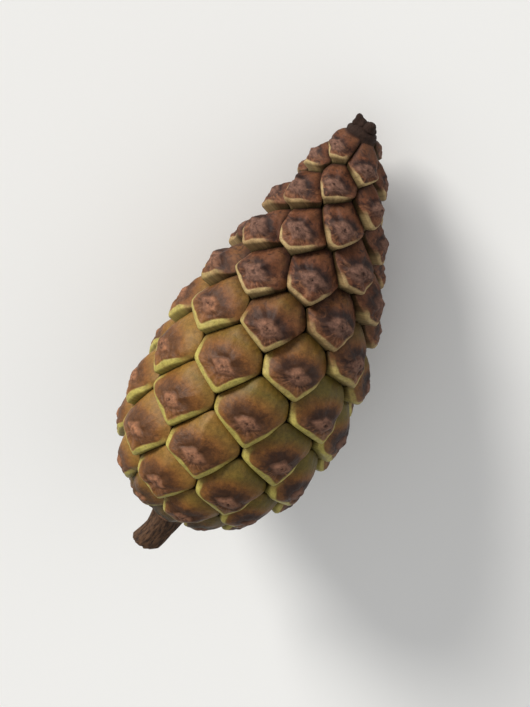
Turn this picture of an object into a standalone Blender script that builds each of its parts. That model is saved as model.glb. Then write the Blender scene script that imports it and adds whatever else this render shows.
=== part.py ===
"""A closed, unripe pine cone as picked, lying on its side on a flat surface.

Metres, +Z up, the stalk towards -X and the tip towards +X. Every point is first placed on an
upright cone, by the way it faces round the axis and its climb from the stalk to the tip. The
whole cone is then bent a little and laid on the scales that it comes to rest on. The origin is
on the surface, under the middle of the cone's box.
"""

import math

import bmesh
import bpy
import numpy as np
from mathutils import Matrix, Vector
from mathutils.geometry import interpolate_bezier

MM = 0.001

# Outline of the cone at the seams between its scales
BELLY_RADIUS = 9.44 * MM
BELLY_HEIGHT = 11.6 * MM  # above the stalk's collar, as all heights
TIP_HEIGHT = 41.8 * MM
TIP_RADIUS = 1.7 * MM
COLLAR_RADIUS = 2.0 * MM
FULLNESS = (0.25, 0.29)  # shares of the taper's height over which the belly's width lasts
BEND = 1.5 * MM  # the middle stands this far to one side of a straight axis
BEND_FACING = math.radians(90)
BOWL_STEPS, TAPER_STEPS = 120, 240

# Spiral of the scales: two stand opposite each other on every level
TURN_PER_LEVEL = math.radians(-69.33)
RISE_PER_LEVEL = 1.033 * MM
FIRST_RISE = 0.66 * MM
CROWDING = 0.45  # how strongly levels close up towards the stalk, where the cone is thin
TURN_OF_FIRST = math.radians(23.4)
WANDER = 0.035  # how far a scale strays from the spiral, as a share of its size
WANDER_SEED = 3
NEIGHBOUR_LEVELS = 8  # a scale's neighbours are within this many levels
LEAST_TOWARDS = 0.05  # a neighbour bounds only the spokes that point at least this much towards it

# Scales
GAP = 0.3 * MM
RELIEF = 0.145  # height of a scale's keel over the seams, as a share of the scale's size
SPOKES = 12  # corners of a scale's outline
ROOT_SHARE = 0.62  # width of a scale at the axis, as a share of its full width there
UMBO_DROP = 0.17  # how far the boss sits below the middle of a scale
KEEL_RINGS = (0.45, 0.8)  # rings between a scale's boss and its edge, as shares of the way
SLOPE_UP, SLOPE_DOWN = 1.7, 4.0  # the upper side swells slowly, the lower side drops off steeply

# Scales that are too small to be handled one by one: they are joined at their roots
BASE_LEVELS = 8
SINGLE_LEVELS = 28
JOIN_DEPTH = 0.7  # joined scales meet below this share of their length
JOIN_OVERLAP = 0.5 * MM

# Axis, from the stalk's broken end to the dark nub at the tip
AXIS_RADIUS = (1.6 * MM, 0.6 * MM)
AXIS_HEIGHT = (1.9 * MM, 37.5 * MM)
AXIS_CLIMB = 1.45  # the scales slant up from the axis, least near the stalk
AXIS_SIDES = 16
AXIS_RINGS = 8
SEAM_WELD = 0.01 * MM
STALK = ((0.0, -4.6), (1.15, -4.6), (1.4, -4.25), (1.3, -2.4), (1.5, -0.6), (1.62, 0.4))  # mm
NUB = ((1.2, 41.3), (1.35, 42.1), (0.95, 43.1), (0.0, 43.5))  # mm
STALK_BEND = 0.9 * MM

# Resting place
FLAT_DEPTH = 0.28 * MM  # the scales that touch the surface are worn flat this deep
TOP_FACING = 0.0  # the side of the cone that should end up on top
TOP_LEEWAY = math.radians(15)
STEEPEST_LIE = 0.5  # sine of the steepest slope at which the axis may lie

# Colours, in linear light, and roughnesses
BARK = (0.22, 0.15, 0.09)
BASE_COLOUR = (0.36, 0.33, 0.10)
TIP_COLOUR = (0.28, 0.14, 0.07)
BARK_ROUGHNESS = 0.85
SCALE_ROUGHNESS = 0.55


class Outline:
    """The surface at the seams, looked up by climb: arc length measured in local radii."""

    def __init__(self):
        lean = math.asin(COLLAR_RADIUS / BELLY_RADIUS)
        turns = np.linspace(lean, math.pi / 2, BOWL_STEPS)
        bowl = [(BELLY_RADIUS * math.sin(t), BELLY_HEIGHT * (1 - math.cos(t))) for t in turns]
        taper = TIP_HEIGHT - BELLY_HEIGHT
        belly = [Vector((BELLY_RADIUS, BELLY_HEIGHT + taper * share)) for share in (0, *FULLNESS)]
        curve = interpolate_bezier(*belly, Vector((TIP_RADIUS, TIP_HEIGHT)), TAPER_STEPS)
        points = np.array(bowl + [tuple(point) for point in curve[1:]])
        steps = np.hypot(*np.diff(points, axis=0).T)
        middles = (points[1:, 0] + points[:-1, 0]) / 2
        self.radii, self.heights = points.T
        self.arcs = np.concatenate([[0], np.cumsum(steps)])
        self.climbs = np.concatenate([[0], np.cumsum(steps / middles)])
        self.leans = np.gradient(self.radii, self.arcs)
        self.rises = np.gradient(self.heights, self.arcs)
        self.length = float(self.arcs[-1])
        self.top = float(self.climbs[-1])

    def at(self, climb, values):
        return float(np.interp(climb, self.climbs, values))

    def climb_at(self, arc):
        return float(np.interp(arc, self.arcs, self.climbs))

    def root(self, climb):
        """Radius and height on the axis where the scale of this climb grows from it."""
        share = self.at(climb, self.arcs) / self.length
        radius = AXIS_RADIUS[0] + (AXIS_RADIUS[1] - AXIS_RADIUS[0]) * share
        height = AXIS_HEIGHT[0] + (AXIS_HEIGHT[1] - AXIS_HEIGHT[0]) * share**AXIS_CLIMB
        return radius, height

    def point(self, facing, climb, depth, rise=0.0):
        """A point of a scale: depth runs from 0 at the axis to 1 at the surface."""
        root_radius, root_height = self.root(climb)
        root_radius += GAP
        radius = root_radius + (self.at(climb, self.radii) - root_radius) * depth
        height = root_height + (self.at(climb, self.heights) - root_height) * depth
        radius += rise * self.at(climb, self.rises)
        height -= rise * self.at(climb, self.leans)
        return bent(Vector((radius * math.cos(facing), radius * math.sin(facing), height)))


def bent(point):
    """The point moved sideways by the cone's slight bend, most in the middle of its height."""
    share = min(max(point.z / TIP_HEIGHT, 0.0), 1.0)
    side = Vector((math.cos(BEND_FACING), math.sin(BEND_FACING), 0.0))
    return point + side * BEND * 4 * share * (1 - share)


class Scale:
    """One scale's place on the spiral."""

    def __init__(self, level, facing, climb, size):
        self.level = level
        self.middle = Vector((facing, climb))
        self.size = size


def spiral(outline):
    """All scales, from the stalk to the tip."""
    chance = np.random.default_rng(WANDER_SEED)
    scales = []
    arc, level = FIRST_RISE, 0
    while arc < outline.length - RISE_PER_LEVEL / 2:
        climb = outline.climb_at(arc)
        radius = outline.at(climb, outline.radii)
        rise = RISE_PER_LEVEL
        if outline.at(climb, outline.heights) < BELLY_HEIGHT:
            rise *= (radius / BELLY_RADIUS) ** CROWDING
        size = math.sqrt(math.pi * radius * rise)
        for side in range(2):
            stray = chance.normal(0.0, WANDER * size / radius, 2)
            facing = TURN_OF_FIRST + level * TURN_PER_LEVEL + side * math.pi
            scales.append(Scale(level, facing + stray[0], climb + stray[1], size))
        arc += rise
        level += 1
    return scales


def neighbours(scale, scales):
    """The scales around this one, with the way to each, the short way round the axis."""
    found = []
    for other in scales:
        if other is scale or abs(other.level - scale.level) > NEIGHBOUR_LEVELS:
            continue
        across = math.remainder(other.middle.x - scale.middle.x, 2 * math.pi)
        found.append((other, Vector((across, other.middle.y - scale.middle.y))))
    return found


def reach(outline, scale, around, spoke, joined=()):
    """How far a scale's edge is from its middle along a spoke, midway to its neighbours."""
    radius = outline.at(scale.middle.y, outline.radii)
    limits = []
    for other, way in around:
        towards = spoke.dot(way.normalized())
        if towards > LEAST_TOWARDS:
            spare = -JOIN_OVERLAP if other in joined else GAP / 2
            limits.append((way.length / 2 - spare / radius) / towards)
    edge = outline.top if spoke.y > 0 else 0.0
    if abs(spoke.y) > LEAST_TOWARDS:
        limits.append(abs((edge - scale.middle.y) / spoke.y) - GAP / 2 / radius)
    return min(limits)


def keel_rings(outline, scale, boss, edges):
    """The rings on the outside of a scale, from near its boss out to its edge."""
    rings = []
    for share in (*KEEL_RINGS, 1.0):
        ring = []
        for spoke, edge in edges:
            slope = SLOPE_UP + (SLOPE_DOWN - SLOPE_UP) * (1 - spoke.y) / 2
            spot = scale.middle + boss.lerp(spoke * edge, share)
            ring.append(outline.point(spot.x, spot.y, 1.0, RELIEF * scale.size * (1 - share**slope)))
        rings.append(ring)
    return rings


def root_rings(outline, scale, edges, depths_and_shares):
    """The rings inside the cone, at a depth and with a share of the scale's full width each."""
    rings = []
    for depth, share in depths_and_shares:
        spots = [scale.middle + spoke * edge * share for spoke, edge in edges]
        rings.append([outline.point(spot.x, spot.y, depth) for spot in spots])
    return rings


def rings_of(outline, scale, around, joined):
    """The rings of points that make a scale, from its boss out over its edge and in to its root."""
    turns = [2 * math.pi * (step + 0.5) / SPOKES for step in range(SPOKES)]
    spokes = [Vector((math.cos(turn), math.sin(turn))) for turn in turns]
    edges = [(spoke, reach(outline, scale, around, spoke)) for spoke in spokes]
    boss = boss_of(outline, scale)
    outside = keel_rings(outline, scale, boss, edges)
    if not joined:
        return outside + root_rings(outline, scale, edges, [(0.0, ROOT_SHARE)])
    wide = [(spoke, reach(outline, scale, around, spoke, joined)) for spoke in spokes]
    return outside + root_rings(outline, scale, wide, [(JOIN_DEPTH, 1.0), (0.0, 1.0)])


def boss_of(outline, scale):
    """The boss's place from the middle of its scale."""
    return Vector((0.0, -UMBO_DROP * scale.size / outline.at(scale.middle.y, outline.radii)))


def scale_mesh(outline, scale, around, joined=()):
    """A closed mesh of one scale: a keeled shield outside, tapering in to its root."""
    rings = rings_of(outline, scale, around, joined)
    spot = scale.middle + boss_of(outline, scale)
    top = outline.point(spot.x, spot.y, 1.0, RELIEF * scale.size)
    root = outline.point(scale.middle.x, scale.middle.y, 0.0)
    mesh = bmesh.new()
    rows = [[mesh.verts.new(point) for point in ring] for ring in rings]
    first, last = mesh.verts.new(top), mesh.verts.new(root)
    for step in range(SPOKES):
        after = (step + 1) % SPOKES
        mesh.faces.new((first, rows[0][step], rows[0][after]))
        for inner, outer in zip(rows, rows[1:]):
            mesh.faces.new((inner[step], outer[step], outer[after], inner[after]))
        mesh.faces.new((last, rows[-1][after], rows[-1][step]))
    bmesh.ops.triangulate(mesh, faces=mesh.faces[:])
    bmesh.ops.recalc_face_normals(mesh, faces=mesh.faces[:])
    return mesh


def axis_mesh(outline):
    """The axis with its stalk stub below and its nub at the tip, turned in one piece."""
    climbs = np.linspace(0, outline.top, AXIS_RINGS)
    stalk = [(radius * MM, height * MM) for radius, height in STALK]
    nub = [(radius * MM, height * MM) for radius, height in NUB]
    profile = stalk + [outline.root(climb) for climb in climbs] + nub
    mesh = bmesh.new()
    line = [mesh.verts.new((radius, 0.0, height)) for radius, height in profile]
    edges = [mesh.edges.new(pair) for pair in zip(line, line[1:])]
    bmesh.ops.spin(
        mesh, geom=line + edges, axis=(0, 0, 1), cent=(0, 0, 0), angle=2 * math.pi, steps=AXIS_SIDES
    )
    bmesh.ops.remove_doubles(mesh, verts=mesh.verts[:], dist=SEAM_WELD)
    for vert in mesh.verts:
        below = min(vert.co.z, 0.0) / (STALK[0][1] * MM)
        vert.co = bent(vert.co)
        vert.co.y -= STALK_BEND * below**2
    bmesh.ops.triangulate(mesh, faces=mesh.faces[:])
    bmesh.ops.recalc_face_normals(mesh, faces=mesh.faces[:])
    return mesh


def centre_of_mass(meshes):
    """The middle of the solid in closed triangle meshes."""
    total, moment = 0.0, Vector((0.0, 0.0, 0.0))
    for mesh in meshes:
        for face in mesh.faces:
            a, b, c = (vert.co for vert in face.verts)
            volume = a.dot(b.cross(c)) / 6
            total += volume
            moment += volume * (a + b + c) / 4
    return moment / total


def hold(face, centre):
    """How far inside a face of the convex hull the centre of mass stands. Below 0 it would roll."""
    corners = [vert.co for vert in face.verts]
    foot = centre - face.normal * (centre - corners[0]).dot(face.normal)
    sides = [(a, (b - a).normalized()) for a, b in zip(corners, corners[1:] + corners[:1])]
    return min(way.cross(foot - a).dot(face.normal) for a, way in sides)


def laid_down(meshes):
    """The move that lays the upright cone on its side, on the three scales that hold it best."""
    centre = centre_of_mass(meshes)
    hull = bmesh.new()
    for mesh in meshes:
        for vert in mesh.verts:
            hull.verts.new(vert.co)
    made = bmesh.ops.convex_hull(hull, input=hull.verts[:])
    faces = [item for item in made["geom"] if isinstance(item, bmesh.types.BMFace)]
    bmesh.ops.recalc_face_normals(hull, faces=faces)
    best, firmest = None, 0.0
    for face in faces:
        up = -face.normal
        off = math.remainder(math.atan2(up.y, up.x) - TOP_FACING, 2 * math.pi)
        firm = hold(face, centre)
        if abs(up.z) < STEEPEST_LIE and abs(off) < TOP_LEEWAY and firm > firmest:
            best, firmest = (up.copy(), face.verts[0].co.copy()), firm
    hull.free()
    up, corner = best
    along = (Vector((0, 0, 1)) - up * up.z).normalized()
    turn = Matrix((along, up.cross(along), up)).to_4x4()
    floor = (turn @ corner).z + FLAT_DEPTH
    return Matrix.Translation((0, 0, -floor)) @ turn


def trim(mesh):
    """Wears a scale flat where it would reach below the surface that the cone lies on."""
    if min(vert.co.z for vert in mesh.verts) >= 0:
        return
    geometry = mesh.verts[:] + mesh.edges[:] + mesh.faces[:]
    cut = bmesh.ops.bisect_plane(
        mesh, geom=geometry, plane_co=(0, 0, 0), plane_no=(0, 0, -1), clear_outer=True
    )
    rim = [item for item in cut["geom_cut"] if isinstance(item, bmesh.types.BMEdge)]
    bmesh.ops.contextual_create(mesh, geom=rim)
    bmesh.ops.triangulate(mesh, faces=mesh.faces[:])
    bmesh.ops.recalc_face_normals(mesh, faces=mesh.faces[:])


def lay_down(meshes):
    """Lays the upright cone on its side, over the origin, and wears flat the scales it lies on."""
    move = laid_down(meshes)
    for mesh in meshes:
        bmesh.ops.transform(mesh, matrix=move, verts=mesh.verts[:])
    spots = [vert.co for mesh in meshes for vert in mesh.verts]
    middle = [(min(spot[i] for spot in spots) + max(spot[i] for spot in spots)) / 2 for i in (0, 1)]
    for mesh in meshes:
        bmesh.ops.translate(mesh, vec=(-middle[0], -middle[1], 0.0), verts=mesh.verts[:])
        trim(mesh)


def material(name, colour, roughness):
    made = bpy.data.materials.new(name)
    made.use_nodes = True
    shader = made.node_tree.nodes["Principled BSDF"]
    shader.inputs["Base Color"].default_value = (*colour, 1.0)
    shader.inputs["Roughness"].default_value = roughness
    shader.inputs["Metallic"].default_value = 0.0
    return made


def add_object(name, mesh, colour, roughness, collection=None):
    """An object from a finished mesh, with a material of its own."""
    data = bpy.data.meshes.new(name)
    mesh.to_mesh(data)
    mesh.free()
    data.materials.append(material(name, colour, roughness))
    made = bpy.data.objects.new(name, data)
    (collection or bpy.context.scene.collection).objects.link(made)
    return made


def colour_at(share):
    return tuple(a + (b - a) * share for a, b in zip(BASE_COLOUR, TIP_COLOUR))


def add_joined(name, meshes, share):
    """Small scales made one body by a union."""
    pieces = bpy.data.collections.new(name + "_pieces")
    bpy.context.scene.collection.children.link(pieces)
    whole = add_object(name, meshes[0], colour_at(share), SCALE_ROUGHNESS)
    for index, mesh in enumerate(meshes[1:]):
        piece_name = f"{name}_piece_{index:02d}"
        piece = add_object(piece_name, mesh, colour_at(share), SCALE_ROUGHNESS, pieces)
        piece.hide_render = True
        piece.display_type = "WIRE"
    union = whole.modifiers.new("join", "BOOLEAN")
    union.operation = "UNION"
    union.operand_type = "COLLECTION"
    union.collection = pieces


def clear_scene():
    for item in list(bpy.data.objects):
        bpy.data.objects.remove(item, do_unlink=True)


def main():
    clear_scene()
    outline = Outline()
    scales = spiral(outline)
    last = BASE_LEVELS + SINGLE_LEVELS
    base = [scale for scale in scales if scale.level < BASE_LEVELS]
    singles = [scale for scale in scales if BASE_LEVELS <= scale.level < last]
    tip = [scale for scale in scales if scale.level >= last]
    made = {}
    for group, joined in ((base, base), (singles, ()), (tip, tip)):
        for scale in group:
            made[scale] = scale_mesh(outline, scale, neighbours(scale, scales), joined)
    axis = axis_mesh(outline)
    lay_down([axis, *made.values()])
    add_object("stalk_axis", axis, BARK, BARK_ROUGHNESS)
    for index, scale in enumerate(singles):
        colour = colour_at((scale.level - BASE_LEVELS) / SINGLE_LEVELS)
        add_object(f"scale_{index + 1:02d}", made[scale], colour, SCALE_ROUGHNESS)
    add_joined("base_scales", [made[scale] for scale in base], 0.0)
    add_joined("tip_scales", [made[scale] for scale in tip], 1.0)
    print(len(scales), "scales on", scales[-1].level + 1, "levels")


main()
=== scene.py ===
import math

import bpy
import numpy as np
from mathutils import Matrix, Vector
from mathutils.geometry import interpolate_bezier


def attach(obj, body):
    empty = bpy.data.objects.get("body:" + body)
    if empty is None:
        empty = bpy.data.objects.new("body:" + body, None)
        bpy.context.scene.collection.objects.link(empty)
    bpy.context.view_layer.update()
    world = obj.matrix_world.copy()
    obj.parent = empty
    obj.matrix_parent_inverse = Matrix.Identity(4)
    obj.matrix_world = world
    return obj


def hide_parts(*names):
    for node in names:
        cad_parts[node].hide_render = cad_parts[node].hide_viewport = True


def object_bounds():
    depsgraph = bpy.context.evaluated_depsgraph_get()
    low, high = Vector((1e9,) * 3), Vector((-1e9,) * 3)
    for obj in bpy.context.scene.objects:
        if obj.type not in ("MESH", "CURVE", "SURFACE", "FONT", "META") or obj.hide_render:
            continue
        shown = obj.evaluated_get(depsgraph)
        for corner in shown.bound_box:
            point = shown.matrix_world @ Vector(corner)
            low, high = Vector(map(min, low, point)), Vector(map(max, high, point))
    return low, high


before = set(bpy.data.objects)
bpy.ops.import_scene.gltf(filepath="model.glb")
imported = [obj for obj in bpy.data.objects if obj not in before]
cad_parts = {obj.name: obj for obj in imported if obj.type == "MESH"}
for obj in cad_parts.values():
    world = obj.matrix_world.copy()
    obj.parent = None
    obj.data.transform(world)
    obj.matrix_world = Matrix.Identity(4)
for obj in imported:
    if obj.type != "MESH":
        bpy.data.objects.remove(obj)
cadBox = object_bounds()

# The cone is worked out upright and in millimetres, stalk down, from the same spiral as the solid
# pieces. It is then carried onto them, where they lie.
cone = {
    "bellyRadius": 9.44,
    "bellyHeight": 11.6,  # above the stalk's collar
    "tipHeight": 41.8,
    "tipRadius": 1.7,
    "collarRadius": 2.0,
    "fullness": (0.25, 0.29),
    "bowlPoints": 120,
    "taperPoints": 240,
    "bend": 1.5,
    "bendFacing": math.radians(90),
    "axisRadius": (1.6, 0.6),
    "axisHeight": (1.9, 37.5),
    "axisClimb": 1.45,
    "rootGap": 0.3,
}

spiral = {
    "turnOfFirst": math.radians(23.4),
    "turn": math.radians(-69.33),  # from one level to the next
    "rise": 1.033,
    "firstRise": 0.66,
    "crowding": 0.45,  # how strongly levels close up towards the stalk
    "wander": 0.035,
    "seed": 3,
    "neighbourLevels": 8,
    "baseLevels": 8,
    "singleLevels": 28,
    "solidDrop": 0.17,  # how far the solids' bosses sit below the middle of a scale
    "solidRelief": 0.145,
    "middleDepth": 0.74,  # where a solid scale's corners have their middle, from 0 at the axis
    "fitRounds": 12,
    "fitSlack": 0.001,  # mm
}


def blend(a, b, share):
    return a + (b - a) * share


def smooth(value, low, high):  # 0 at low, 1 at high, with soft ends
    share = np.clip((value - low) / (high - low), 0.0, 1.0)
    return share * share * (3 - 2 * share)


# the surface through the seams, looked up by climb, which is arc length counted in local radii
class Outline:
    def __init__(self):
        lean = math.asin(cone["collarRadius"] / cone["bellyRadius"])
        turns = np.linspace(lean, math.pi / 2, cone["bowlPoints"])
        out, up = np.sin(turns) * cone["bellyRadius"], (1 - np.cos(turns)) * cone["bellyHeight"]
        bowl = np.column_stack((out, up))
        taper = cone["tipHeight"] - cone["bellyHeight"]
        heights = [cone["bellyHeight"] + taper * share for share in (0, *cone["fullness"])]
        belly = [Vector((cone["bellyRadius"], height)) for height in heights]
        tip = Vector((cone["tipRadius"], cone["tipHeight"]))
        curve = interpolate_bezier(*belly, tip, cone["taperPoints"])
        points = np.vstack((bowl, [tuple(point) for point in curve[1:]]))
        steps = np.hypot(*np.diff(points, axis=0).T)
        middles = (points[1:, 0] + points[:-1, 0]) / 2
        self.radii, self.heights = points.T
        self.arcs = np.concatenate(([0], np.cumsum(steps)))
        self.climbs = np.concatenate(([0], np.cumsum(steps / middles)))
        self.leans = np.gradient(self.radii, self.arcs)
        self.rises = np.gradient(self.heights, self.arcs)
        self.length = self.arcs[-1]
        self.top = self.climbs[-1]

    def at(self, climb, values):
        return np.interp(climb, self.climbs, values)

    def root(self, climb):  # where on the axis the scale of this climb grows
        share = self.at(climb, self.arcs) / self.length
        return blend(*cone["axisRadius"], share), blend(*cone["axisHeight"], share ** cone["axisClimb"])

    def point(self, facing, climb, depth, rise):  # depth runs from 0 at the axis to 1 at the surface
        rootRadius, rootHeight = self.root(climb)
        radius = blend(rootRadius + cone["rootGap"], self.at(climb, self.radii), depth)
        height = blend(rootHeight, self.at(climb, self.heights), depth)
        radius = radius + rise * self.at(climb, self.rises)
        height = height - rise * self.at(climb, self.leans)
        return bent(np.stack((radius * np.cos(facing), radius * np.sin(facing), height), axis=-1))


def bent(spots):  # the cone is a little crooked
    share = np.clip(spots[..., 2] / cone["tipHeight"], 0.0, 1.0)
    side = np.array((math.cos(cone["bendFacing"]), math.sin(cone["bendFacing"]), 0.0))
    return spots + side * (cone["bend"] * 4 * share * (1 - share))[..., None]


class Scale:
    def __init__(self, level, middle, size, place):
        self.level = level
        self.middle = np.array(middle)  # facing and climb
        self.size = size
        self.place = place  # 0 at the stalk, 1 at the tip


def allScales(outline):
    chance = np.random.default_rng(spiral["seed"])
    scales, arc, level = [], spiral["firstRise"], 0
    while arc < outline.length - spiral["rise"] / 2:
        climb = float(np.interp(arc, outline.arcs, outline.climbs))
        radius = float(outline.at(climb, outline.radii))
        below = outline.at(climb, outline.heights) < cone["bellyHeight"]
        thin = (radius / cone["bellyRadius"]) ** spiral["crowding"] if below else 1.0
        rise = spiral["rise"] * thin
        size = math.sqrt(math.pi * radius * rise)
        for side in range(2):
            stray = chance.normal(0.0, spiral["wander"] * size / radius, 2)
            facing = spiral["turnOfFirst"] + level * spiral["turn"] + side * math.pi
            middle = (facing + stray[0], climb + stray[1])
            scales.append(Scale(level, middle, size, arc / outline.length))
        arc += rise
        level += 1
    return scales


def solidSpots(outline, scales, depth, drop, relief):  # one spot in each solid scale
    spots = []
    for scale in scales:
        lower = drop * scale.size / outline.at(scale.middle[1], outline.radii)
        spots.append(outline.point(scale.middle[0], scale.middle[1] - lower, depth, relief * scale.size))
    return np.array(spots)


def bestMove(before, after):  # the turn and shift that carry one set of points onto another
    middles = before.mean(0), after.mean(0)
    left, _, right = np.linalg.svd((before - middles[0]).T @ (after - middles[1]))
    flip = np.diag((1, 1, np.sign(np.linalg.det(left @ right))))
    turn = (left @ flip @ right).T
    return turn, middles[1] - turn @ middles[0]


def placeOfCone(outline, singles):  # found from the solid scales, whose names follow the spiral
    spots = []
    for i in range(len(singles)):
        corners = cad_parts[f"scale_{i + 1:02d}"].data.vertices
        rows = [[round(value * 1000, 3) for value in corner.co] for corner in corners]
        spots.append(np.unique(rows, axis=0))
    bosses = solidSpots(outline, singles, 1.0, spiral["solidDrop"], spiral["solidRelief"])
    middles = solidSpots(outline, singles, spiral["middleDepth"], 0.0, 0.0)
    turn, shift = bestMove(middles, np.array([cloud.mean(0) for cloud in spots]))
    for _ in range(spiral["fitRounds"]):
        guesses = bosses @ turn.T + shift
        gaps = [((cloud - guess) ** 2).sum(1) for cloud, guess in zip(spots, guesses)]
        nearest = np.array([cloud[np.argmin(gap)] for cloud, gap in zip(spots, gaps)])
        misses = np.linalg.norm(nearest - guesses, axis=1)
        good = misses <= np.median(misses) * 2 + spiral["fitSlack"]
        turn, shift = bestMove(bosses[good], nearest[good])
    print(f"cone found to within {misses[good].max():.4f} mm, from {good.sum()} of {len(singles)} scales")
    return turn, shift


def around(scale, scales):  # ways to the scales around this one, the short way round the axis
    ways = []
    for other in scales:
        if other is scale or abs(other.level - scale.level) > spiral["neighbourLevels"]:
            continue
        across = math.remainder(other.middle[0] - scale.middle[0], 2 * math.pi)
        ways.append((across, other.middle[1] - scale.middle[1]))
    return np.array(ways)


shield = {
    "spokes": 96,
    "rings": 30,
    "smallSpokes": 64,
    "smallRings": 20,
    "seam": 0.045,  # mm between neighbours
    "endGap": 0.15,  # mm kept free round the stalk and at the tip
    "squareOn": 0.05,  # a neighbour further round than this doesn't limit a spoke
    "beyond": 1e3,
    "roundTop": 9.0,  # lower rounds a scale's corners more
    "sharpFoot": 26.0,
    "cornerTurn": (-0.6, 0.4),  # from foot to top
    "aged": (0.42, 0.8),  # along the cone, where smooth scales turn into ridged ones
    "bossWander": (0.02, 0.015),
    "relief": (0.15, 0.25),  # height over the seams in scale sizes; pairs are for smooth and ridged scales
    "reliefRange": (0.9, 1.1),
    "drop": (0.18, 0.13),  # how far the umbo sits below the middle
    "umboWidth": (0.215, 0.31),
    "umboHeight": (0.135, 0.23),
    "swell": (2.1, 1.45),
    "tuck": 0.03,  # the upper edge dips under the scales above
    "tuckPower": 4,
    "sag": (0.16, 0.4),  # fall of the foot from the umbo to the rim
    "sagPower": (2.0, 1.3),
    "footSide": (-0.3, 0.4),
    "usualSize": 5,  # mm
    "rimWidth": (0.62, 0.4),  # mm, on a scale of the usual size
    "rimSlope": 0.45,
    "knee": 0.06,  # mm over which the rim turns down
    "lip": 0.16,  # mm
    "lipWidth": 0.14,
    "shingle": (0.06, 0.2),  # slope by which scales stand out at their lower edge
    "rootShare": 0.62,
    "walls": ((0.025, 0.3), (0.07, 1.0), (0.2, 1.0), (0.45, 1.0)),  # drop below the edge, sharp corners
    "deepestWall": 0.25,
    "wallShade": 0.02,  # the finish sees walls as a little deeper than they are
    "sunnyAndLitFacing": math.radians(-75),
    "patterns": 50,  # how far apart the noise of two scales can lie
    "far": 9.0,  # stands for a place well away from the umbo or the rim
}

# heights and lengths are in scale sizes, edges on and round the umbo in umbos; pairs are for smooth
# and ridged scales, or the two ends of a soft step
grain = {
    "starts": 6.0,  # range of the waves' random starts
    "umboPower": 1.2,  # 1 gives a sharp rhombus, 2 an ellipse
    "umboWaves": (2, 3, 5),
    "umboWave": 0.035,
    "keel": (0.014, 0.035),
    "keelWidth": 0.055,
    "keelEnds": (0.5, 0.15),
    "knob": 0.02,
    "knobEdge": (0.45, 1.0),
    "moat": 0.012,
    "moatPlace": 1.15,
    "moatWidth": 0.16,
    "rings": 0.0025,
    "ringCount": 15,
    "ringsEdge": (0.6, 1.0),
    "pit": 0.006,
    "pitEdge": (0.06, 0.24),
    "groove": 0.014,
    "grooveWidth": 0.1,  # mm
    "streaks": (0.0035, 0.009),
    "streakWaves": (7, 11, 17, 26),
    "streakFade": 0.4,
    "streakStart": (0.9, 1.5),
    "streakEnd": (0.1, 0.6),  # mm from the rim
    "streaksAbove": 0.4,
    "arms": (0.006, 0.022),
    "armWaves": (3, 4, 6),
    "armStart": (0.5, 1.1),
    "armFade": 4,
    "dents": 0.012,
    "dentLength": 0.5,
    "dentFade": 3,
    "wrinkles": (0.0025, 0.006),
    "wrinkleLength": 0.17,
    "rippleWaves": 7,
    "rippleRange": (0.7, 1.5),
    "tilt": (0.03, 0.02),
    "tiltFade": 6,
    "poleRise": 0.012,
}


def reach(outline, scale, ways, spokes):  # the edge along each spoke, with soft and with sharp corners
    slight, beyond = shield["squareOn"], shield["beyond"]
    radius = outline.at(scale.middle[1], outline.radii)
    lengths = np.linalg.norm(ways, axis=1)
    towards = spokes @ (ways / lengths[:, None]).T
    halves = lengths / 2 - shield["seam"] / 2 / radius
    limits = np.where(towards > slight, halves / np.maximum(towards, slight), beyond)
    upward = spokes[:, 1]
    ends = np.where(upward > 0, outline.top, 0.0) - scale.middle[1]
    toEnd = np.where(np.abs(upward) > slight, np.abs(ends / upward) - shield["endGap"] / radius, beyond)
    limits = np.column_stack((limits, toEnd))
    power = blend(shield["sharpFoot"], shield["roundTop"], smooth(upward, *shield["cornerTurn"]))[:, None]
    nearest = limits.min(1)
    return nearest * ((limits / nearest[:, None]) ** -power).sum(1) ** (-1 / power[:, 0]), nearest


def ripple(chance, across, along, waveLength, height):
    waves = grain["rippleWaves"]
    total = np.zeros_like(across)
    for _ in range(waves):
        turn, start = chance.uniform(0, 2 * math.pi, 2)
        pitch = waveLength * chance.uniform(*grain["rippleRange"])
        total += np.sin((across * math.cos(turn) + along * math.sin(turn)) * 2 * math.pi / pitch + start)
    return total * height / math.sqrt(waves)


def starWaves(chance, angle, counts, height=1.0, fade=0.0):  # waves round the umbo, from random starts
    return sum(np.sin(angle * n + chance.uniform(0, grain["starts"])) * height / n**fade for n in counts)


class Plate:  # the face of a scale as rings round its umbo, in millimetres
    def __init__(self, ways, rings, size, old):
        shares = np.linspace(0, 1, rings + 1)[1:]
        lengths = np.linalg.norm(ways, axis=1)
        self.size = size
        self.old = old  # 0 for smooth scales, 1 for ridged ones
        self.across, self.along = (shares[:, None, None] * ways).transpose(2, 0, 1)
        self.angle = np.arctan2(self.along, self.across)
        self.share = np.repeat(shares[:, None], len(ways), 1)
        self.toRim = (1 - self.share) * lengths
        self.upward = (ways[:, 1] / lengths)[None, :] * np.ones_like(self.share)
        self.low = smooth(-self.upward, *shield["footSide"])
        self.rimWidth = self.between(shield["rimWidth"]) * math.sqrt(size / shield["usualSize"])

    def between(self, pair):
        return blend(*pair, self.old)


def bodyOf(plate, relief):  # domed above the umbo, with a flatter foot and a rim below it
    share, toRim = plate.share, plate.toRim
    dome = relief * (1 - share ** plate.between(shield["swell"]))
    dome -= shield["tuck"] * plate.size * share ** shield["tuckPower"]
    knee = np.logaddexp(0, (plate.rimWidth - toRim) / shield["knee"]) * shield["knee"]
    sag = plate.between(shield["sag"]) * share ** plate.between(shield["sagPower"])
    foot = relief * (1 - sag) - knee * shield["rimSlope"]
    foot -= shield["lip"] * np.clip(1 - toRim / shield["lipWidth"], 0, 1) ** 2
    return blend(dome, foot, plate.low)


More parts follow.
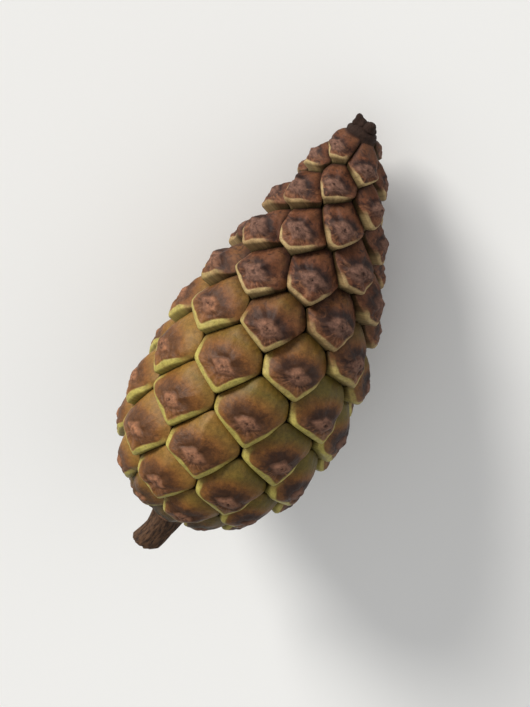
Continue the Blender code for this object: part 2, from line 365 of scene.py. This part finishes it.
def umboOf(plate, chance):  # 0 in the middle of the umbo, 1 at its edge, and on outwards
    width, height = (plate.between(shield[key]) * plate.size for key in ("umboWidth", "umboHeight"))
    power = grain["umboPower"]
    umbo = (np.abs(plate.across / width) ** power + np.abs(plate.along / height) ** power) ** (1 / power)
    return umbo * (1 + starWaves(chance, plate.angle, grain["umboWaves"], grain["umboWave"]))


def addGrain(rise, plate, umbo, chance):  # keel, umbo, groove, streaks, arms, dents and wrinkles
    size, share, across, along = plate.size, plate.share, plate.across, plate.along
    keel = np.exp(-((along / (grain["keelWidth"] * size)) ** 2))
    keel *= smooth(np.abs(across), *(end * size for end in grain["keelEnds"]))
    rise += plate.between(grain["keel"]) * size * keel
    rise += grain["knob"] * size * (1 - smooth(umbo, *grain["knobEdge"]))
    rise -= grain["moat"] * size * np.exp(-(((umbo - grain["moatPlace"]) / grain["moatWidth"]) ** 2))
    rings = grain["rings"] * size * np.cos(umbo * grain["ringCount"])
    rise += rings * (1 - smooth(umbo, *grain["ringsEdge"]))
    rise -= grain["pit"] * size * (1 - smooth(umbo, *grain["pitEdge"]))
    groove = np.exp(-(((plate.toRim - plate.rimWidth) / grain["grooveWidth"]) ** 2))
    rise -= grain["groove"] * size * groove * plate.low
    streaks = starWaves(chance, plate.angle, grain["streakWaves"], fade=grain["streakFade"])
    streaks = streaks * plate.between(grain["streaks"]) * size * smooth(umbo, *grain["streakStart"])
    streaks = streaks * smooth(plate.toRim, *grain["streakEnd"])
    rise += streaks * blend(grain["streaksAbove"], 1.0, plate.low)
    arms = starWaves(chance, plate.angle, grain["armWaves"]) * plate.between(grain["arms"]) * size
    rise += arms * smooth(umbo, *grain["armStart"]) * (1 - share ** grain["armFade"])
    dents = ripple(chance, across, along, grain["dentLength"] * size, grain["dents"] * size)
    rise += dents * (1 - share ** grain["dentFade"])
    wrinkles = plate.between(grain["wrinkles"]) * size
    rise += ripple(chance, across, along, grain["wrinkleLength"] * size, wrinkles)
    sideways, lengthwise = (chance.normal(0, slope) for slope in grain["tilt"])
    rise += (across * sideways + along * lengthwise) * (1 - share ** grain["tiltFade"])


def wallsOf(outline, scale, soft, sharp, dip, radius):  # rings from the edge in to the axis
    outer, inner = (outline.point(*scale.middle, depth, 0.0) for depth in (1.0, 0.0))
    inside = float(np.linalg.norm(outer - inner))
    walls = [(1 - drop * scale.size / inside, sharpness) for drop, sharpness in shield["walls"]]
    walls = [wall for wall in walls if wall[0] > shield["deepestWall"]] + [(0.0, 1.0)]
    rings = []
    for depth, sharpness in walls:
        spread = blend(soft, sharp, sharpness) * blend(shield["rootShare"], 1.0, depth) / radius
        facing, climb = (scale.middle + spread).T
        rings.append(outline.point(facing, climb, depth, dip * depth))
    return np.array(rings), [depth for depth, _ in walls]


def scaleShape(outline, scale, scales, fine, chance):  # points, faces and what the finish reads
    count, rings = (shield[key] for key in (("spokes", "rings") if fine else ("smallSpokes", "smallRings")))
    radius = float(outline.at(scale.middle[1], outline.radii))
    size = scale.size
    turns = (np.arange(count) + 0.5) * 2 * math.pi / count
    spokes = np.column_stack((np.cos(turns), np.sin(turns)))
    edges = reach(outline, scale, around(scale, scales), spokes)
    soft, sharp = (spokes * edge[:, None] * radius for edge in edges)
    old = float(smooth(scale.place, *shield["aged"]))
    sideways, lengthwise = (chance.normal(0, wander) for wander in shield["bossWander"])
    boss = np.array((sideways, -blend(*shield["drop"], old) + lengthwise)) * size
    plate = Plate(soft - boss, rings, size, old)

    relief = plate.between(shield["relief"]) * size * chance.uniform(*shield["reliefRange"])
    rise = bodyOf(plate, relief)
    umbo = umboOf(plate, chance)
    addGrain(rise, plate, umbo, chance)
    rise -= plate.between(shield["shingle"]) * (plate.along + boss[1])
    facing = scale.middle[0] + (plate.across + boss[0]) / radius
    climb = scale.middle[1] + (plate.along + boss[1]) / radius
    face = outline.point(facing, climb, 1.0, rise)
    walls, depths = wallsOf(outline, scale, soft, sharp, np.minimum(rise[-1], 0), radius)
    top = outline.point(*(scale.middle + boss / radius), 1.0, relief + grain["poleRise"] * size)
    root = outline.point(*scale.middle, 0.0, 0.0)
    grid = np.concatenate((face, walls))

    def carried(values, first, last):  # the face's values, walls as at its edge, then both poles
        below = np.repeat(values[-1:], len(depths), 0)
        return np.concatenate((values.ravel(), below.ravel(), (first, last)))

    def even(value):
        return np.full(len(grid) * count + 2, value)

    pattern, tint = shield["patterns"], chance.uniform(0, 1, 2)
    wallDepths = [max(depth - shield["wallShade"], 0) for depth in depths]
    values = {
        "umbo": carried(umbo, 0.0, shield["far"]),
        "toRim": carried(plate.toRim / plate.rimWidth, shield["far"], 0.0),
        "upside": carried(plate.upward, 0.0, 0.0),
        "depth": np.concatenate((np.ones(rings * count), np.repeat(wallDepths, count), (1, 0))),
        "towardTip": even(scale.place),
        # how far a scale faces the sunny side, which is also the side the key light falls on, so it drives
        # painted light as well as real colour
        "sunnyAndLitSide": even(0.5 + 0.5 * math.cos(scale.middle[0] - shield["sunnyAndLitFacing"])),
        "tint": even(tint[0]),
        "across": carried(plate.across / size, 0.0, 0.0),
        "along": carried(plate.along / size, 0.0, 0.0),
        "offset": even(tint[1] * pattern),
    }
    return np.concatenate((grid.reshape(-1, 3), top[None], root[None])), gridFaces(len(grid), count), values


def gridFaces(rows, count):  # quads between rings, and a fan round the pole at each end
    step = np.arange(count)
    after = (step + 1) % count
    faces = []
    for row in range(rows - 1):
        inner, outer = row * count, (row + 1) * count
        faces += np.stack((inner + step, outer + step, outer + after, inner + after), 1).tolist()
    first, last = rows * count, rows * count + 1
    faces += np.stack((np.full(count, first), step, after), 1).tolist()
    end = (rows - 1) * count
    faces += np.stack((np.full(count, last), end + after, end + step), 1).tolist()
    return faces


def addPiece(name, shapes, skin, slotName, *nodes):  # one object from closed shapes
    spots = np.concatenate([shape[0] for shape in shapes])
    faces, start = [], 0
    for shape in shapes:
        faces += [[start + corner for corner in face] for face in shape[1]]
        start += len(shape[0])
    spots = (spots @ coneTurn.T + coneShift) / 1000
    spots[:, 2] = np.maximum(spots[:, 2], 0)  # flat where it rests on the floor
    mesh = bpy.data.meshes.new(name)
    mesh.from_pydata(spots.tolist(), [], faces)
    for key in shapes[0][2]:
        values = np.concatenate([shape[2][key] for shape in shapes]).astype(np.float32)
        mesh.attributes.new(key, "FLOAT", "POINT").data.foreach_set("value", values)
    mesh.shade_smooth()
    mesh.materials.append(skin)
    piece = bpy.data.objects.new(name, mesh)
    bpy.context.scene.collection.objects.link(piece)
    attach(piece, "root")
    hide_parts(*nodes)
    return piece


def paint(red, green, blue):  # 0 to 255 as on screen, to the linear light that shaders use
    shares = [part / 255 for part in (red, green, blue)]
    return (*(((share + 0.055) / 1.055) ** 2.4 if share > 0.04 else share / 12.92 for share in shares), 1.0)


class Value:  # wraps a socket, so that shader maths reads as arithmetic
    def __init__(self, nodes, socket):
        self.nodes = nodes
        self.socket = socket

    def maths(self, operation, first, second=0.0):
        return self.nodes.add("ShaderNodeMath", {"operation": operation}, {0: first, 1: second})

    def __add__(self, other):
        return self.maths("ADD", self, other)

    __radd__ = __add__

    def __sub__(self, other):
        return self.maths("SUBTRACT", self, other)

    def __rsub__(self, other):
        return self.maths("SUBTRACT", other, self)

    def __mul__(self, other):
        return self.maths("MULTIPLY", self, other)

    __rmul__ = __mul__

    def __truediv__(self, other):
        return self.maths("DIVIDE", self, other)

    def __pow__(self, other):
        return self.maths("POWER", self, other)

    def most(self, other):
        return self.maths("MAXIMUM", self, other)

    def sine(self):
        return self.maths("SINE", self)

    def swing(self, strength):  # a noise that runs from 0 to 1, counted from its middle
        return (self - 0.5) * strength

    def ramp(self, low, high):  # 0 at low, 1 at high, with soft ends
        return self.nodes.add("ShaderNodeMapRange", {"interpolation_type": "SMOOTHSTEP"},
                              {"Value": self, "From Min": low, "From Max": high})


class Nodes:  # one material's nodes
    def __init__(self, name):
        self.material = bpy.data.materials.new(name)
        self.material.use_nodes = True
        self.tree = self.material.node_tree
        self.tree.nodes.clear()

    def add(self, kind, settings=None, inputs=None, output=0):
        node = self.tree.nodes.new(kind)
        for key, value in (settings or {}).items():
            setattr(node, key, value)
        for key, value in (inputs or {}).items():
            if isinstance(value, Value):
                self.tree.links.new(value.socket, node.inputs[key])
            else:
                node.inputs[key].default_value = value
        return None if output is None else Value(self, node.outputs[output])

    def read(self, name):
        return self.add("ShaderNodeAttribute", {"attribute_name": name}, output="Fac")

    def mix(self, share, first, second):  # colours; 6, 7 and 2 are the colour sockets of a Mix node
        return self.add("ShaderNodeMix", {"data_type": "RGBA"}, {0: share, 6: first, 7: second}, 2)

    def spot(self, x, y, z):
        return self.add("ShaderNodeCombineXYZ", None, {0: x, 1: y, 2: z})

    def noise(self, where, scale, detail=4.0, roughness=0.55, distortion=0.0):
        return self.add("ShaderNodeTexNoise", None, {"Vector": where, "Scale": scale, "Detail": detail,
                                                     "Roughness": roughness, "Distortion": distortion})

    def bump(self, height, strength, distance):
        inputs = {"Strength": strength, "Distance": distance, "Height": height}
        return self.add("ShaderNodeBump", None, inputs)

    def finish(self, inputs):
        surface = self.add("ShaderNodeBsdfPrincipled", None, inputs)
        self.add("ShaderNodeOutputMaterial", None, {"Surface": surface}, None)
        return self.material


scaleLook = {  # colours as on screen, from 0 to 255
    "olive": (84, 72, 25),
    "golden": (120, 88, 37),
    "orange": (106, 64, 27),
    # the dark band's own colour, also used for painted shade in recesses and spots
    "darkBandAndShade": (34, 17, 12),
    "reddish": (84, 47, 30),
    "umbo": (114, 83, 69),
    "umboSunnyAndLit": (152, 102, 68),
    "umboDark": (50, 30, 24),
    # the ridges' own colour, also used for painted highlights
    "ridgeAndHighlight": (122, 82, 56),
    "rim": (154, 143, 72),
    "rimTan": (156, 134, 92),
    "base": (54, 48, 17),
    # painted shade for the creases and down the walls into the seams
    "seam": (50, 40, 18),
}

scaleFinish = {
    "clouds": (3.0, 3.0),  # noises: scale, detail, roughness and distortion
    "mottle": (14.0, 5.0, 0.65),
    "fine": (60.0, 3.0, 0.6),
    "streaks": (3.0, 4.0, 0.6),
    "worn": (5.0, 5.0, 0.6, 1.0),
    "patches": (11.0, 4.0, 0.7),
    "streaksRound": 2.2,  # higher gives more streaks round the umbo
    "streaksOut": 0.9,  # lower draws them out longer
    "tiny": 0.001,
    "oldStart": (0.45, 0.72),  # pairs are the two ends of a soft step
    "oldClouds": 0.25,
    "goldRange": (0.3, 0.85),
    "goldParts": (0.7, 0.3, 0.8),  # of the sunny side (partly painted light from the key light), of the scale's own tint and of the clouds
    "orange": 0.9,  # single values are strengths
    "orangeSize": (0.44, 0.27),  # half width and half height, in scale sizes
    "orangeLift": 0.06,
    "orangeClouds": 0.6,
    "orangeEdge": (0.85, 1.85),
    "reddish": 0.9,
    "bandEdge": (0.5, 1.15),
    "bandMottle": 0.5,
    "bandTint": 0.15,
    "bandSunAndLit": 0.45,
    # painted shade in the recess under the scales above
    "recessShade": 0.9,
    "recessShadeSide": (0.1, 0.7),
    "recessShadeWidth": (0.3, 2.2),
    "ridges": 0.55,
    "ridgeSide": (-0.7, 0.3),
    "ridgeStreaks": (0.45, 0.62),
    "ridgeStart": (0.8, 1.1),
    "base": 0.8,
    "baseEnd": (0.02, 0.16),
    # painted highlights and painted recess shade, in noise spots
    "light": 0.6,
    "highlightYoung": 0.25,
    "highlightSpots": (0.52, 0.66),
    "highlightSide": (0.2, 0.8),
    "dark": 0.75,
    "recessShadeSpots": (0.36, 0.47),
    "umbo": 0.85,
    "umboSunAndLit": 0.8,
    "umboRings": (14, 9, 4),  # by the way from its middle, by the mottle and by the tint
    "umboRing": 0.2,
    "umboPatch": 0.55,
    "umboPatches": (0.4, 0.66),
    "umboEdge": (0.7, 1.2),
    "umboMottle": 0.7,
    "pit": 0.5,
    "pitEdge": (0.05, 0.3),
    "pitMottle": 0.9,
    "rim": 0.95,
    "rimSide": (-0.1, 0.45),
    "rimSideClouds": 0.4,
    "rimSideOld": 0.5,
    "rimEdge": (0.7, 1.05),
    "rimMottle": 0.35,
    "rimClouds": 0.8,
    "rimPatch": 0.3,
    "rimPatches": (0.3, 0.5),
    "rimLessAtBase": 0.5,
    "rimLessByTint": 0.4,
    # painted shade in the creases and down the walls into the seams
    "creaseShade": 0.7,
    "creaseShadeWidth": (0.0, 0.22),
    "creaseShadeBelow": 0.6,
    "seamShadeDepth": (0.9, 0.985),
    "speckles": 0.5,
    "speckleRange": (0.25, 0.75),
    "dots": 0.25,
    "dotRange": (0.3, 0.7),
    "shade": 0.62,
    "roughness": 0.5,
    "roughOld": 0.12,
    "roughUmbo": 0.2,
    "roughUmboEdge": (0.9, 1.1),
    "roughFine": 0.15,
    "bump": 0.35,
    "bumpHeight": 0.00025,
    "bumpParts": (0.5, 0.3, 0.5),  # of the mottle, of the fine noise and of the streaks
    "specular": 0.2,
}


def scaleSkin():
    n = Nodes("greenScale")
    look = scaleFinish
    colour = {name: paint(*value) for name, value in scaleLook.items()}
    umbo, toRim, upside, depth = (n.read(name) for name in ("umbo", "toRim", "upside", "depth"))
    towardTip, sunnyAndLitSide, tint = (n.read(name) for name in ("towardTip", "sunnyAndLitSide", "tint"))
    across, along, offset = (n.read(name) for name in ("across", "along", "offset"))
    where = n.spot(across, along, offset)
    cloudy, mottled, fine = (n.noise(where, *look[name]) for name in ("clouds", "mottle", "fine"))
    length = (across * across + along * along) ** 0.5 + look["tiny"]
    turnX, turnY = (part / length * look["streaksRound"] for part in (across, along))
    streak = n.noise(n.spot(turnX, turnY, length * look["streaksOut"] + offset), *look["streaks"])

    # ground colours: olive, golden on the sunny side, orange round the umbo, reddish near the tip; the gold
    # is partly the scale's own colour and partly painted light on the side the key light falls on
    old = (towardTip + cloudy.swing(look["oldClouds"])).ramp(*look["oldStart"])
    bySun, byTint, byClouds = look["goldParts"]
    gold = (sunnyAndLitSide * bySun + tint * byTint + cloudy.swing(byClouds)).ramp(*look["goldRange"])
    skin = n.mix(gold, colour["olive"], colour["golden"])
    wide, high = look["orangeSize"]
    fromMiddle = ((across / wide) ** 2 + ((along - look["orangeLift"]) / high) ** 2) ** 0.5
    fromMiddle = fromMiddle + cloudy.swing(look["orangeClouds"])
    skin = n.mix((1 - fromMiddle.ramp(*look["orangeEdge"])) * look["orange"], skin, colour["orange"])
    skin = n.mix(old * look["reddish"], skin, colour["reddish"])

    # the dark band round the umbo, which is the scale's own colour, and painted shade in the recess under
    # the scales above
    dark = fromMiddle + mottled.swing(look["bandMottle"]) - tint * look["bandTint"]
    # the band is painted lighter on the sunny side: partly painted light from the key light
    dark = (1 - dark.ramp(*look["bandEdge"])) * (1 - sunnyAndLitSide * (1 - old) * look["bandSunAndLit"])
    # painted shade in the recess under the scales above, on ridged scales
    recessShade = old * upside.ramp(*look["recessShadeSide"]) * (1 - toRim.ramp(*look["recessShadeWidth"]))
    skin = n.mix(dark.most(recessShade * look["recessShade"]), skin, colour["darkBandAndShade"])

    # ridges, the dark end at the stalk, and noise spots of painted highlight and painted recess shade
    ridges = (1 - upside.ramp(*look["ridgeSide"])) * streak.ramp(*look["ridgeStreaks"])
    skin = n.mix(ridges * umbo.ramp(*look["ridgeStart"]) * look["ridges"], skin, colour["ridgeAndHighlight"])
    base = 1 - towardTip.ramp(*look["baseEnd"])
    skin = n.mix(base * look["base"], skin, colour["base"])
    # noise spots of painted highlight and painted recess shade
    worn = n.noise(where, *look["worn"])
    light = (look["highlightYoung"] + old * (1 - look["highlightYoung"])) * worn.ramp(*look["highlightSpots"])
    skin = n.mix(light * (1 - upside.ramp(*look["highlightSide"])) * look["light"], skin, colour["ridgeAndHighlight"])
    skin = n.mix(old * (1 - worn.ramp(*look["recessShadeSpots"])) * look["dark"], skin, colour["darkBandAndShade"])

    # the umbo, with faint broken rings
    outwards, byMottle, byTint = look["umboRings"]
    rings = (umbo * outwards + mottled.swing(byMottle) + tint * byTint).sine() * 0.5 + 0.5
    patchy = n.noise(where, *look["patches"])
    # the umbo is paler on the sunny side: partly its own colour, partly painted light from the key light
    pale = n.mix(sunnyAndLitSide * (1 - old) * look["umboSunAndLit"], colour["umbo"], colour["umboSunnyAndLit"])
    dirt = rings * look["umboRing"] + patchy.ramp(*look["umboPatches"]) * look["umboPatch"]
    knob = n.mix(dirt, pale, colour["umboDark"])
    pit = 1 - (umbo + mottled.swing(look["pitMottle"])).ramp(*look["pitEdge"])
    knob = n.mix(pit * look["pit"], knob, colour["darkBandAndShade"])
    onUmbo = 1 - (umbo + mottled.swing(look["umboMottle"])).ramp(*look["umboEdge"])
    skin = n.mix(onUmbo * look["umbo"], skin, knob)

    # the pale rim below, painted shade in the creases under the scales above, and painted shade that
    # deepens down the walls into the seams
    sides = upside + cloudy.swing(look["rimSideClouds"]) + old * look["rimSideOld"]
    sides = 1 - sides.ramp(*look["rimSide"])
    rim = toRim + mottled.swing(look["rimMottle"]) + cloudy.swing(look["rimClouds"])
    rim = (1 - rim.ramp(*look["rimEdge"])) * sides
    rim = rim * (1 - look["rimPatch"] + patchy.ramp(*look["rimPatches"]) * look["rimPatch"])
    rim = rim * (look["rim"] - base * look["rimLessAtBase"] - old * tint * look["rimLessByTint"])
    skin = n.mix(rim, skin, n.mix(old, colour["rim"], colour["rimTan"]))
    # painted shade in the creases under the scales above, then painted shade down the walls
    creaseShade = (1 - toRim.ramp(*look["creaseShadeWidth"])) * (1 - sides * look["creaseShadeBelow"])
    skin = n.mix(creaseShade * look["creaseShade"], skin, colour["seam"])
    skin = n.mix(1 - depth.ramp(*look["seamShadeDepth"]), skin, colour["seam"])

    speckle = mottled.ramp(*look["speckleRange"]) * look["speckles"]
    speckle = speckle + fine.ramp(*look["dotRange"]) * look["dots"] + look["shade"]
    speckle = n.spot(speckle, speckle, speckle)
    skin = n.add("ShaderNodeVectorMath", {"operation": "MULTIPLY"}, {0: skin, 1: speckle})
    rough = look["roughness"] + old * look["roughOld"]
    rough = rough + (1 - umbo.ramp(*look["roughUmboEdge"])) * look["roughUmbo"]
    rough = rough + fine.swing(look["roughFine"])
    byMottle, byFine, byStreaks = look["bumpParts"]
    bump = n.bump(mottled * byMottle + fine * byFine + streak * byStreaks, look["bump"], look["bumpHeight"])
    settings = {"Base Color": skin, "Roughness": rough, "Normal": bump}
    return n.finish({**settings, "Specular IOR Level": look["specular"]})


stalk = {
    "profile": ((0.0, -4.6), (1.15, -4.6), (1.4, -4.25), (1.3, -2.4), (1.5, -0.9), (1.85, 0.2)),
    "nub": ((1.5, 41.2), (1.45, 41.9), (0.8, 42.4), (0.0, 42.6)),
    "grainTop": 43.5,  # where the pattern of the bark would end
    "axisPoints": 8,
    "bend": 0.9,
    "sides": 72,
    "step": 0.14,
    "seed": 11,
    "starts": 6.0,
    "ribs": (5, 8, 13),
    "ribTwist": 0.8,
    "ribHeight": 0.05,
    "ribStart": (0.5, 1.1),  # mm from the axis
    "barkEnd": (0.2, 1.2),
    "nubStart": (40.8, 41.6),
    "tornUpTo": (-4.59, -4.2),
    "tornOutTo": (1.1, 1.3),
    "tornLength": 0.5,
    "tornHeight": 0.12,
}

lumps = {
    # facing in degrees, distance from the axis, height and size of each
    "places": ((50, 0.65, 42.4, 0.72), (165, 0.7, 42.0, 0.66), (285, 0.6, 42.6, 0.6)),
    "sides": 32,
    "rings": 16,
    "waves": 6,
    "waveTurns": 1.6,
    "waveHeight": 0.09,
    "starts": 6.0,
    "flatness": 0.9,
}


def stalkShape(outline):
    chance = np.random.default_rng(stalk["seed"])
    climbs = np.linspace(0, outline.top, stalk["axisPoints"])
    axis = [tuple(map(float, outline.root(climb))) for climb in climbs]
    corners = np.array([*stalk["profile"], *axis, *stalk["nub"]])
    runs = np.concatenate(([0], np.cumsum(np.hypot(*np.diff(corners, axis=0).T))))
    stops = np.arange(stalk["step"], runs[-1] - stalk["step"] / 2, stalk["step"])
    radii, heights = np.interp(stops, runs, corners[:, 0]), np.interp(stops, runs, corners[:, 1])
    sides, low, high = stalk["sides"], corners[0, 1], corners[-1, 1]
    radius = np.repeat(radii[:, None], sides, 1)
    height = np.repeat(heights[:, None], sides, 1)
    turn = np.repeat((np.arange(sides) * 2 * math.pi / sides)[None], len(radii), 0)
    onNub = smooth(height, *stalk["nubStart"])
    ribs = 0
    outside = smooth(radius, *stalk["ribStart"])
    for n in stalk["ribs"]:
        twist = chance.uniform(-stalk["ribTwist"], stalk["ribTwist"])
        ribs = ribs + np.sin(turn * n + height * twist + chance.uniform(0, stalk["starts"]))
    radius = radius + np.abs(ribs) * stalk["ribHeight"] * (1 - smooth(height, *stalk["barkEnd"])) * outside
    torn = (1 - smooth(height, *stalk["tornUpTo"])) * (1 - smooth(radius, *stalk["tornOutTo"]))
    across, along = radius * np.cos(turn), radius * np.sin(turn)
    height = height + torn * ripple(chance, across, along, stalk["tornLength"], stalk["tornHeight"])
    spots = bent(np.stack((across, along, height), axis=-1))
    spots[..., 1] -= stalk["bend"] * (np.clip(-height, 0, None) / -low) ** 2
    ends = np.array([[0, -stalk["bend"], low], [0, 0, high]])
    values = {
        "onNub": (onNub, 0, 1),
        "torn": (torn, 1, 0),
        "fromAxis": (radius, 0, 0),
        "turnX": (np.cos(turn), 0, 0),
        "turnY": (np.sin(turn), 0, 0),
        "height": (height, low, stalk["grainTop"]),
    }
    values = {name: np.concatenate((grid.ravel(), poles)) for name, (grid, *poles) in values.items()}
    faces = [face[::-1] for face in gridFaces(len(radii), sides)]  # turned round, as these rings go up
    return np.concatenate((spots.reshape(-1, 3), ends)), faces, values


def lumpShape(facing, away, height, size):  # a knobbly dark grain at the tip
    chance = np.random.default_rng(facing)
    sides, rings = lumps["sides"], lumps["rings"]
    lean = (np.arange(rings) + 0.5)[:, None] * math.pi / rings
    turn = np.arange(sides)[None] * 2 * math.pi / sides + np.zeros_like(lean)
    width = np.sin(lean)
    ball = np.stack((width * np.cos(turn), width * np.sin(turn), np.cos(lean) + 0 * turn), axis=-1)
    ball = np.concatenate((ball.reshape(-1, 3), [(0, 0, 1), (0, 0, -1)]))
    bumps = 0
    for _ in range(lumps["waves"]):
        way = chance.normal(0, lumps["waveTurns"], 3)
        bumps = bumps + np.sin(ball @ way + chance.uniform(0, lumps["starts"]))
    spots = ball * (size * (1 + bumps * lumps["waveHeight"]))[:, None] * (1.0, 1.0, lumps["flatness"])
    turned = math.radians(facing)
    spots = spots + (away * math.cos(turned), away * math.sin(turned), height)
    ones = np.ones(len(spots))
    values = {
        "onNub": ones,
        "torn": ones * 0,
        "fromAxis": ones,
        "turnX": ball[:, 0],
        "turnY": ball[:, 1],
        "height": spots[:, 2],
    }
    return spots, gridFaces(rings, sides), values


barkLook = {"bark": (84, 60, 42), "crack": (38, 26, 19), "wood": (168, 140, 92), "nub": (36, 21, 15)}

barkFinish = {
    "stretch": 0.35,  # lower draws the cracks out lengthwise
    "coarse": (4.0, 6.0, 0.65),  # noises: scale, detail and roughness
    "fine": (18.0, 4.0, 0.6),
    "cracks": (0.35, 0.6),
    "yearRings": 16,
    "ringWander": 5,
    "ringDepth": 0.5,
    "fibres": (0.3, 0.6),
    "nub": 0.9,
    "bump": 0.6,
    "bumpHeight": 0.0004,
    "bumpFine": 0.4,
    "roughness": 0.8,
    "specular": 0.2,
}


def barkSkin():
    n = Nodes("stalkBark")
    look = barkFinish
    colour = {name: paint(*value) for name, value in barkLook.items()}
    onNub, torn, fromAxis = (n.read(name) for name in ("onNub", "torn", "fromAxis"))
    turnX, turnY, height = (n.read(name) for name in ("turnX", "turnY", "height"))
    where = n.spot(turnX * fromAxis, turnY * fromAxis, height * look["stretch"])
    coarse, fine = (n.noise(where, *look[name]) for name in ("coarse", "fine"))
    skin = n.mix(coarse.ramp(*look["cracks"]), colour["crack"], colour["bark"])
    yearRings = (fromAxis * look["yearRings"] + coarse * look["ringWander"]).sine() * 0.5 + 0.5
    fibres = fine.ramp(*look["fibres"]) * (1 - yearRings * look["ringDepth"])
    skin = n.mix(torn, skin, n.mix(fibres, colour["crack"], colour["wood"]))
    skin = n.mix(onNub * look["nub"], skin, colour["nub"])
    bump = n.bump(coarse + fine * look["bumpFine"], look["bump"], look["bumpHeight"])
    settings = {"Base Color": skin, "Roughness": look["roughness"], "Normal": bump}
    return n.finish({**settings, "Specular IOR Level": look["specular"]})


pieces = {
    "seed": 21,
    "lowerScales": 16,  # single scales of each kind, from the stalk on
    "bellyScales": 20,
}


def addScales():
    skin = scaleSkin()
    chance = np.random.default_rng(pieces["seed"])
    bellyEnd = pieces["lowerScales"] + pieces["bellyScales"]
    for i, scale in enumerate(singles):
        slotName = "belly_scale" if i < bellyEnd else "upper_scale"
        if i < pieces["lowerScales"]:
            slotName = "lower_scale"
        shape = scaleShape(outline, scale, scales, True, chance)
        addPiece(f"greenScale{i + 1:02d}", [shape], skin, slotName, f"scale_{i + 1:02d}")
    print(f"{len(singles)} single scales added")
    for name, group, slotName in (("base", baseScales, "lower_scale"), ("tip", tipScales, "tip_scale")):
        shapes = [scaleShape(outline, scale, scales, False, chance) for scale in group]
        addPiece(f"{name}Scales", shapes, skin, slotName, f"{name}_scales")
        print(f"{len(group)} small scales added at the {name}")


def addStalk():
    tipLumps = [lumpShape(*place) for place in lumps["places"]]
    addPiece("stalkAndAxis", [stalkShape(outline), *tipLumps], barkSkin(), "stalk", "stalk_axis")
    print("stalk, axis and nub added")


view = {
    "tilt": math.radians(20),  # the tip leans towards the camera
    "around": math.radians(0),
    "lean": math.radians(27),  # of the axis, right of upright in view
    "lens": 110,
    "height": 0.066,  # of the view, at the cone
}


def addCamera():
    tipward = Vector(coneTurn @ np.array((0, 0, 1)))
    outward = Vector(coneTurn @ np.array((math.cos(view["around"]), math.sin(view["around"]), 0)))
    back = (outward * math.cos(view["tilt"]) + tipward * math.sin(view["tilt"])).normalized()
    along = (tipward - back * tipward.dot(back)).normalized()
    up = Matrix.Rotation(view["lean"], 3, back) @ along
    right = up.cross(back)
    camera = bpy.data.objects.new("camera", bpy.data.cameras.new("camera"))
    camera.data.lens = view["lens"]
    half = math.atan(camera.data.sensor_width / 2 / camera.data.lens)
    low, high = cadBox
    place = (low + high) / 2 + back * view["height"] / 2 / math.tan(half)
    camera.matrix_world = Matrix.Translation(place) @ Matrix((right, up, back)).transposed().to_4x4()
    bpy.context.scene.collection.objects.link(camera)
    bpy.context.scene.camera = camera
    return right, up, back


studio = {
    "floorHalf": 6,  # metres
    "floorColour": (0.8, 0.8, 0.79, 1),
    "floorRoughness": 0.7,
    "key": (-0.8, 0.75, 0.75),  # the way the light comes from: right, up and back
    "keyWidth": math.radians(23),
    "keyStrength": 4.3,
    "keyColour": (1.0, 0.98, 0.94),
    "fill": (0.8, 0.1, 0.9),
    "fillWidth": math.radians(53),
    "fillStrength": 0.5,
    "fillColour": (1.0, 1.0, 1.0),
    "skyColour": (1, 1, 1, 1),
    "skyStrength": 0.52,
}


def addLight(name, right, up, back):  # far away, so that the floor is lit evenly
    light = bpy.data.objects.new(name, bpy.data.lights.new(name, "SUN"))
    light.data.angle = studio[name + "Width"]
    light.data.energy = studio[name + "Strength"]
    light.data.color = studio[name + "Colour"]
    sideways, upwards, backwards = studio[name]
    way = back * backwards + right * sideways + up * upwards
    light.rotation_euler = way.to_track_quat("Z", "Y").to_euler()
    bpy.context.scene.collection.objects.link(light)


def addStudio(right, up, back):
    mesh = bpy.data.meshes.new("floor")
    half = studio["floorHalf"]
    corners = [(-half, -half, 0), (half, -half, 0), (half, half, 0), (-half, half, 0)]
    mesh.from_pydata(corners, [], [(0, 1, 2, 3)])
    floor = bpy.data.objects.new("floor", mesh)
    bpy.context.scene.collection.objects.link(floor)
    floorLook = {"Base Color": studio["floorColour"], "Roughness": studio["floorRoughness"]}
    mesh.materials.append(Nodes("paleFloor").finish(floorLook))
    addLight("key", right, up, back)
    addLight("fill", right, up, back)
    world = bpy.data.worlds.new("studio")
    world.use_nodes = True
    sky = world.node_tree.nodes["Background"].inputs
    sky["Color"].default_value = studio["skyColour"]
    sky["Strength"].default_value = studio["skyStrength"]
    bpy.context.scene.world = world
    bpy.context.scene.view_settings.view_transform = "Standard"
    print("camera and studio added")


outline = Outline()
scales = allScales(outline)
firstSingle = spiral["baseLevels"]
firstOfTip = firstSingle + spiral["singleLevels"]
baseScales = [scale for scale in scales if scale.level < firstSingle]
singles = [scale for scale in scales if firstSingle <= scale.level < firstOfTip]
tipScales = [scale for scale in scales if scale.level >= firstOfTip]
coneTurn, coneShift = placeOfCone(outline, singles)
addStudio(*addCamera())
addScales()
addStalk()
